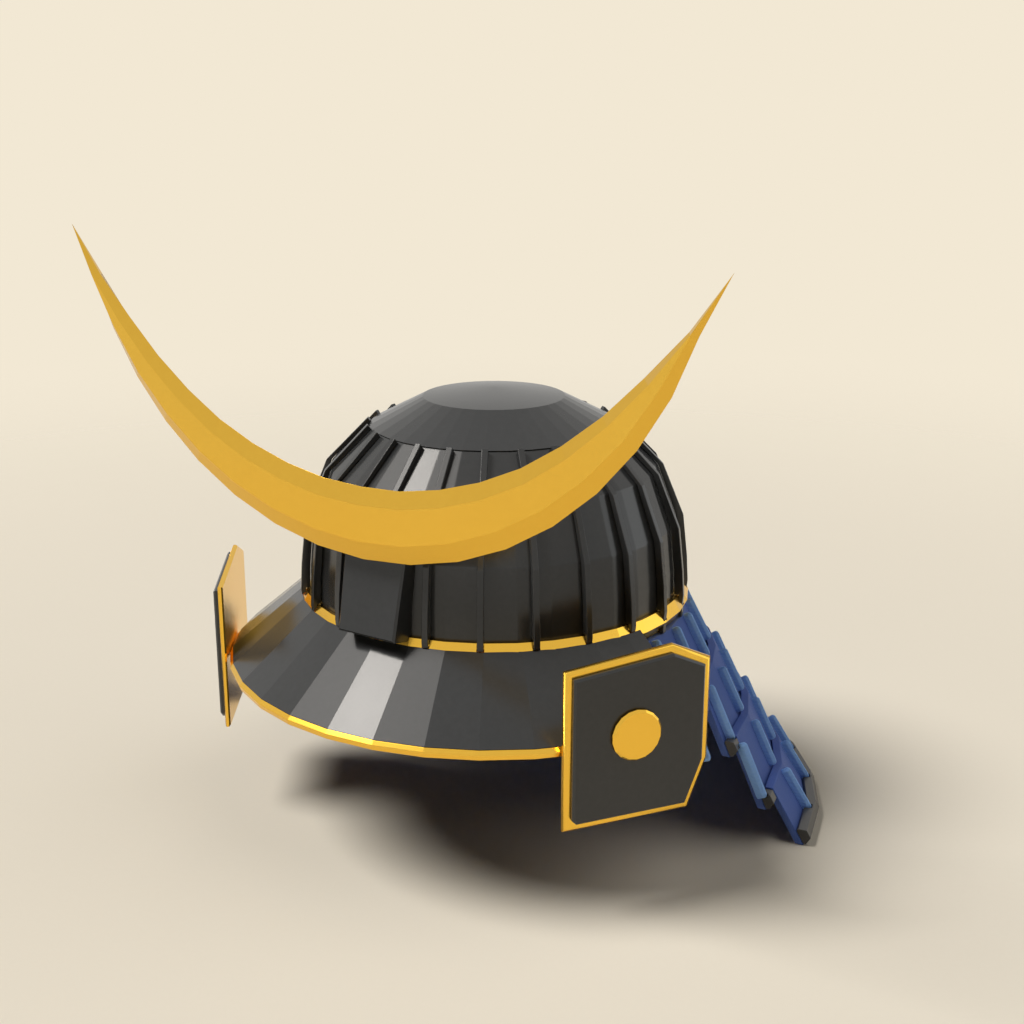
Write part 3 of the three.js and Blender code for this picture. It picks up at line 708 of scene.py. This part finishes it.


def paint_chamfer_shade(obj):
    """Stores a tone on each face: 1 where its normal lies along Y, and a darker painted shade
    elsewhere.
    """
    facing = np.empty(3 * len(obj.data.polygons))
    obj.data.polygons.foreach_get("normal", facing)
    flat = np.abs(facing.reshape(-1, 3)[:, 1]) > math.cos(math.radians(FACE_LEAN))
    tone = np.ones((flat.size, 4))
    tone[:, :3] = np.where(flat, 1.0, CHAMFER_SHADE)[:, None]
    obj.data.attributes.new("Tone", "FLOAT_COLOR", "FACE").data.foreach_set("color", tone.ravel())
    print(f"{obj.name}: {flat.sum()} of {flat.size} faces unshaded")


paint_chamfer_shade(crest)

# %% [markdown]
# ## The wings
#
# At either end of the brim a plate is turned back beside the brow. It is gilt, with a lacquered
# panel and a gilt disc. Drawn flat, s runs backwards along the plate and z upwards, and the plate
# is then stood at its distance from the axis and turned to its angle. The panel and the disc are
# slabs with a flat chamfer. The gilt plate is cut over the brim's rolled edge, so it is a welded
# copy, and edge weights keep its Bevel to the edges round its outer face.

# %% Outlines on a wing
WING_ANGLE, WING_DISTANCE = -34.8, 165.6     # turned back by this, and its outer face's distance
WING = np.array([(-26.9, -87.0), (47.1, -86.6), (58.1, -58.5), (58.2, -0.6), (35.4, 10.0),
                 (-26.7, 3.3)])              # (s, z)
WING_BORDER = 4.3                            # width of gilding left round the panel
PANEL_THICK, PANEL_CORNER = 3.0, 2.5         # its lower front corner is cut off
DISC = {"s": 13.0, "z": -35.9, "r": 14.5, "thickness": 2.4, "sides": 18}


def inset(outline, distance):
    """Every side of a convex outline moved inwards by the same distance."""
    before = outline - np.roll(outline, 1, axis=0)
    after = np.roll(outline, -1, axis=0) - outline
    before /= np.linalg.norm(before, axis=1, keepdims=True)
    after /= np.linalg.norm(after, axis=1, keepdims=True)
    turn = before[:, 0] * after[:, 1] - before[:, 1] * after[:, 0]
    return outline + (after - before) * (distance / turn)[:, None]


panel = inset(WING, WING_BORDER)
panel = np.vstack([panel[0] + (0, PANEL_CORNER), panel[0] + (PANEL_CORNER, 0), panel[1:]])
turn = 2 * math.pi * (np.arange(DISC["sides"]) + 0.5) / DISC["sides"]
disc = np.stack([DISC["s"] + DISC["r"] * np.cos(turn), DISC["z"] + DISC["r"] * np.sin(turn)], axis=1)
print("corners of the panel and of the disc:", len(panel), "and", len(disc))

# %% Slabs on a wing, and the softened rim of its plate
CHAMFER = 1.2        # of the panel and the disc
WING_RIM = 1.3       # width of the softened rim


def on_wing(outline, near, thickness, side):
    """A slab on the wing, (distance, s, z) turned; its outer edge is cut back by the chamfer."""
    rings = np.stack([outline, outline, inset(outline, CHAMFER)])
    distance = near + np.array([0, thickness - CHAMFER, thickness])
    slab = np.concatenate([np.broadcast_to(distance[:, None, None], (*rings.shape[:2], 1)), rings],
                          axis=-1)
    return turned(slab, WING_ANGLE) * (side, 1, 1)


def soften_front(obj, outwards):
    """Rounds only the edges of the foremost flat face across a direction; the others stay sharp.

    An edge is one of them when both its ends lie as far along the direction as any corner does.
    """
    mesh = obj.data
    places, ends = np.empty(3 * len(mesh.vertices)), np.empty(2 * len(mesh.edges), int)
    mesh.vertices.foreach_get("co", places)
    mesh.edges.foreach_get("vertices", ends)
    ahead = places.reshape(-1, 3) @ outwards
    foremost = ahead > ahead.max() - 5 * WELD
    round_face = foremost[ends.reshape(-1, 2)].all(axis=1)
    mesh.attributes.new("bevel_weight_edge", "FLOAT", "EDGE").data.foreach_set(
        "value", round_face.astype(float))
    mesh.attributes.new("sharp_edge", "BOOLEAN", "EDGE").data.foreach_set("value", ~round_face)
    bevel = obj.modifiers["Softened creases"]
    bevel.limit_method = "WEIGHT"
    bevel.use_clamp_overlap = False
    print(f"{obj.name}: {round_face.sum()} edges softened")


# %% Wings
panel_back = WING_DISTANCE + GAP
disc_back = panel_back + PANEL_THICK + GAP
for label, side in (("l", 1), ("r", -1)):
    wing = softened_copy(f"gilt_wing_{label}", [f"wing_plate_{label}"], gilt, WING_RIM,
                         smooth=True)
    soften_front(wing, turned((1, 0, 0), WING_ANGLE) * (side, 1, 1))
    make(f"dark_panel_{label}", solid(on_wing(panel, panel_back, PANEL_THICK, side)),
         lacquer, [f"wing_panel_{label}"], crease=0.25)
    make(f"gilt_disc_{label}", solid(on_wing(disc, disc_back, DISC["thickness"], side)),
         gilt, [f"wing_disc_{label}"], crease=0.25)

# %% [markdown]
# ## The neck guard
#
# Four lames hang round the neck, each outside the one above. A lame is a stiff strip wrapped in
# laid silk, with braided cords over it, and a dark lacquered rod bound along its foot. A strip is
# an outline of four corners carried round from one end to the other.

# %% Strips of the lames
# "top" and "bottom" are the (r, z) of a lame's outer edges, "end" the angle at which it starts,
# "laces" how many cords it has, and "from" and "to" the heights that its cords run between.
LAMES = [
    {"top": (117.2, -13.5), "bottom": (137.3, -53.2), "end": -10.5, "laces": 17,
     "from": -15.5, "to": -43.0},
    {"top": (136.9, -40.8), "bottom": (158.1, -85.2), "end": 3.4, "laces": 17,
     "from": -47.9, "to": -76.7},
    {"top": (158.8, -74.2), "bottom": (178.7, -117.6), "end": 6.2, "laces": 15,
     "from": -79.9, "to": -108.9},
    {"top": (180.1, -107.0), "bottom": (200.1, -140.0), "end": 8.9, "laces": 13,
     "from": -109.3, "to": -132.3},
]
LAME_THICK, LAME_FACETS = 5.2, 14
HIDDEN_EDGE = 0.2    # the covered upper edge is this much thinner, clear of the lame above
TONGUE = {"end": -8.6, "foot": -57.5}     # the second lame's short upper edge that runs on
TONGUE_JOINT = 0.03  # between that edge and the lame, in degrees


def slope(lame):
    """How far a lame's face moves outwards for each millimetre of height."""
    (r0, z0), (r1, z1) = lame["top"], lame["bottom"]
    return (r1 - r0) / (z1 - z0)


def strip(lame, first, last, steps, foot=None):
    """A lame's flat strip between two angles: outer face, foot, inner face."""
    (r0, z0), (r1, z1) = lame["top"], lame["bottom"]
    if foot is not None:
        r1, z1 = r0 + (foot - z0) * slope(lame), foot
    thin = 0 if lame is LAMES[0] else HIDDEN_EDGE
    outline = [(r0, z0), (r1, z1), (r1 - LAME_THICK, z1), (r0 - LAME_THICK + thin, z0)]
    return solid(carried_round(outline, np.linspace(first, last, steps + 1)))


print("slopes of the lames:", [round(slope(lame), 3) for lame in LAMES])

# %% [markdown]
# ### Lacing cords
#
# A cord comes out of its lame, runs down the face and goes in again above the next row. A curve
# with a bevel would be round, while a flat braid has a broad back, so a cord is a bar of six
# sides with both ends drawn in, and all the cords of a lame are one stack of grids.

# %% Section and run of the cords
# "root", "middle" and "top" are heights over the lame's outer face; the root lies inside the lame.
LACE = {"width": 4.3, "top": 4.55, "middle": 2.6, "root": -1.8, "root width": 3.2, "taper": 1.6}
half_width = LACE["width"] / 2
LACE_SECTION = np.array([
    (LACE["root"], LACE["root width"] / 2), (LACE["middle"], half_width),
    (LACE["top"], half_width / 2), (LACE["top"], -half_width / 2),
    (LACE["middle"], -half_width), (LACE["root"], -LACE["root width"] / 2)])
DRAWN_IN = 0.5       # the ends of a cord shrink to this share of its width


def covered_from(n):
    """Angle at which the lame below starts to cover this one."""
    if n == 0:
        return TONGUE["end"]
    return LAMES[n + 1]["end"] if n + 1 < len(LAMES) else BACK


def cord_runs(n):
    """Angle and lowest height of every cord of a lame; covered cords stop above the next lame."""
    lame = LAMES[n]
    angles = BACK + (np.arange(lame["laces"]) - (lame["laces"] - 1) / 2) * LACE_STEP
    feet = np.full(len(angles), lame["to"])
    if n + 1 < len(LAMES):
        stop = LAMES[n + 1]["top"][1] + LACE["taper"] + 2 * GAP
        hidden = np.abs(angles - BACK) < BACK - covered_from(n)
        feet = np.where(hidden, np.maximum(feet, stop), feet)
    return angles, feet


print("cords:", sum(lame["laces"] for lame in LAMES), "in all")


# %% Cords
def cords(n):
    """A stack of bars: rows at both drawn-in ends and both full ends, columns round the section.

    A corner (out, across) at distance d down the lame's face is the point (out, across, -d),
    leaned back with the face, set at the lame's upper edge and turned to the cord's angle.
    """
    lame = LAMES[n]
    angles, feet = cord_runs(n)
    lean = math.atan(-slope(lame))
    length = (lame["from"] - feet) / math.cos(lean)
    zero = np.zeros_like(length)
    down = np.stack([zero - LACE["taper"], zero, length, length + LACE["taper"]], axis=1)
    scale = np.array([DRAWN_IN, 1, 1, DRAWN_IN])[:, None]
    out, across = LACE_SECTION.T
    out = np.where(out > LACE["middle"], LACE["middle"] + (out - LACE["middle"]) * scale, out)
    out, across, down = np.broadcast_arrays(out, across * scale, down[..., None])
    r = out * math.cos(lean) + down * math.sin(lean)
    z = out * math.sin(lean) - down * math.cos(lean)
    start = lame["top"][0] + (lame["from"] - lame["top"][1]) * slope(lame)
    return turned(np.stack([r + start, across, z + lame["from"]], axis=-1), angles[:, None, None])


# %% [markdown]
# ### The neck guard put together
#
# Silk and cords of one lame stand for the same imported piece. The second lame has two pieces more,
# the tongues of its upper edge that its last cord on either side hangs from. The rods are cut
# round the lames, so welded copies of them are used.

# %% Neck guard
for n, lame in enumerate(LAMES):
    strips = [strip(lame, lame["end"], 2 * BACK - lame["end"], LAME_FACETS)]
    if n == 1:
        near = lame["end"] - TONGUE_JOINT
        strips += [strip(lame, TONGUE["end"], near, 1, TONGUE["foot"]),
                   strip(lame, 2 * BACK - near, 2 * BACK - TONGUE["end"], 1, TONGUE["foot"])]
    node_names = [f"lame_{n + 1}"]
    make(f"silk_lame_{n + 1}", joined(*strips), laid_silk, node_names, crease=0.6)
    make(f"cords_{n + 1}", solid(cords(n)), cord_silk, node_names,
         crease=0.45, segments=1)

RODS = [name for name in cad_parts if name.startswith("lame_edge")]
softened_copy("foot_rods", RODS, dull_lacquer, crease=0.5)

# %% [markdown]
# ## The studio
#
# The helmet stands on a pale sweep of paper. A real sweep curves up behind the object; here the
# floor is one disc that fades out into the backdrop, which has no edge to hide. The camera sees
# the backdrop in full and the lacquer mirrors a paler room, but that room lights the helmet
# hardly at all, so that the shadows of the lamps stay deep.

# %% Backdrop
CREAM = (0.888, 0.807, 0.658)      # the backdrop that the camera sees
SKY = (0.90, 0.88, 0.84)           # the room that the helmet mirrors
AMBIENT, MIRRORED = 0.005, 0.80    # strength of that room as light and in mirrored rays
world = bpy.data.worlds.new("Studio")
scene.world = world
world.use_nodes = True
tree = world.node_tree
shade = tree.nodes["Background"]
path = node(tree, "ShaderNodeLightPath")
tree.links.new(colour_mix(tree, path.outputs["Is Camera Ray"], SKY, CREAM), shade.inputs["Color"])
unseen = maths(tree, "SUBTRACT", 1.0, path.outputs["Is Camera Ray"])
gloss = maths(tree, "MULTIPLY", path.outputs["Is Glossy Ray"], MIRRORED - AMBIENT)
level = maths(tree, "MULTIPLY", unseen, maths(tree, "ADD", gloss, AMBIENT))
tree.links.new(maths(tree, "ADD", level, path.outputs["Is Camera Ray"]), shade.inputs["Strength"])
print("backdrop:", world.name)

# %% Paper
PAPER_DARK, PAPER_LIGHT = (0.800, 0.745, 0.638), (0.820, 0.765, 0.655)
FADE_START, FADE_END = 0.35, 1.6   # distances from the helmet between which the paper fades out
paper, tree, shader, place = blank_material("Paper sweep")
fibre = use(tree, wear, Cloud_Scale=2.0, Speck_Scale=300.0, Specks=0.3)
tree.links.new(place, fibre.inputs["Vector"])
tree.links.new(colour_mix(tree, fibre.outputs["Value"], PAPER_DARK, PAPER_LIGHT),
               shader.inputs["Base Color"])
shader.inputs["Roughness"].default_value = 0.9
shader.inputs["Specular IOR Level"].default_value = 0.1
away = node(tree, "ShaderNodeVectorMath", operation="LENGTH")
tree.links.new(place, away.inputs[0])
fade = node(tree, "ShaderNodeMapRange", From_Min=FADE_START, From_Max=FADE_END, To_Min=1.0,
            To_Max=0.0)
fade.interpolation_type = "SMOOTHSTEP"
tree.links.new(away.outputs["Value"], fade.inputs["Value"])
tree.links.new(fade.outputs["Result"], shader.inputs["Alpha"])
print("paper:", paper.name)

# %% Floor
FLOOR_R, FLOOR_SIDES = 2.8, 96
CLEARANCE = 0.0003                 # the floor lies this far under the lowest point
floor_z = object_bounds()[0].z - CLEARANCE
ring = np.radians(np.arange(FLOOR_SIDES) * 360 / FLOOR_SIDES)
rim = np.stack([FLOOR_R * np.cos(ring), FLOOR_R * np.sin(ring), 0 * ring + floor_z], axis=1)
floor_mesh = bpy.data.meshes.new("Floor")
floor_mesh.from_pydata(rim.tolist(), [], [list(range(FLOOR_SIDES))])
floor = bpy.data.objects.new("Floor", floor_mesh)
scene.collection.objects.link(floor)
floor_mesh.materials.append(paper)
print("floor at", round(floor_z, 4))


# %% [markdown]
# ### Lamps
#
# A broad main lamp, above the helmet's right temple, lays the soft shadow on the paper, and a weak
# one opposite lifts the laced lames out of it. Neither shows in the lacquer. What the lacquer
# mirrors instead is a smaller lamp in nearly the main lamp's place, with a haze round it, so that
# single plates of the brim and the dome light up, and a low cool lamp behind the left side, which
# draws the bowl's plates there. Area lamps near the helmet could do all this, but their light
# falls off across the paper, while a Sun lamp is even and its angle sets how soft the shadow is.

# %% Lamps
LAMP_AWAY = 2.0      # only where a lamp's symbol is drawn: its light is the same from anywhere


def lamp(name, towards, strength, spread, mirrored=True, diffuse=True, tint=(1.0, 0.97, 0.93)):
    """A far lamp in a direction from the helmet; the spread, in degrees, softens its shadow."""
    light = bpy.data.lights.new(name, "SUN")
    light.energy = strength
    light.angle = math.radians(spread)
    light.color = tint
    obj = bpy.data.objects.new(name, light)
    direction = Vector(towards).normalized()
    obj.location = direction * LAMP_AWAY
    obj.rotation_euler = (-direction).to_track_quat("-Z", "Y").to_euler()
    obj.visible_glossy = mirrored
    obj.visible_diffuse = diffuse
    scene.collection.objects.link(obj)


lamp("Main lamp", (-0.49, -0.36, 0.79), 3.05, 27.0, mirrored=False)
lamp("Far side lamp", (0.50, 0.28, 0.82), 0.70, 60.0, mirrored=False)
lamp("Mirrored lamp", (-0.484, -0.345, 0.804), 0.48, 13.0, tint=(1.0, 0.950, 0.885), diffuse=False)
lamp("Mirrored haze", (-0.486, -0.312, 0.817), 0.80, 40.0, tint=(1.0, 0.960, 0.910), diffuse=False)
lamp("Cool side lamp", (0.770, 0.600, 0.215), 0.36, 50.0, tint=(0.90, 0.96, 1.0), diffuse=False)

# %% [markdown]
# ## The camera
#
# A fairly long lens from a little above the brow, turned a third of the way to the helmet's left
# side, shows the crest, the wing and the neck guard together.

# %% Camera and colour
CAMERA_PLACE = (0.47434, -0.70764, 0.29092)
CAMERA_TILT, CAMERA_TURN = 73.625, 33.11      # up from straight down, and round Z, in degrees
LENS, SENSOR = 51.35, 36.0
camera = bpy.data.objects.new("Camera", bpy.data.cameras.new("Camera"))
scene.collection.objects.link(camera)
camera.location = CAMERA_PLACE
camera.rotation_euler = (math.radians(CAMERA_TILT), 0.0, math.radians(CAMERA_TURN))
camera.data.lens = LENS
camera.data.sensor_width = SENSOR
scene.camera = camera
scene.view_settings.view_transform = "Standard"
scene.view_settings.look = "None"
print("camera at", CAMERA_PLACE, "with a lens of", LENS, "mm")
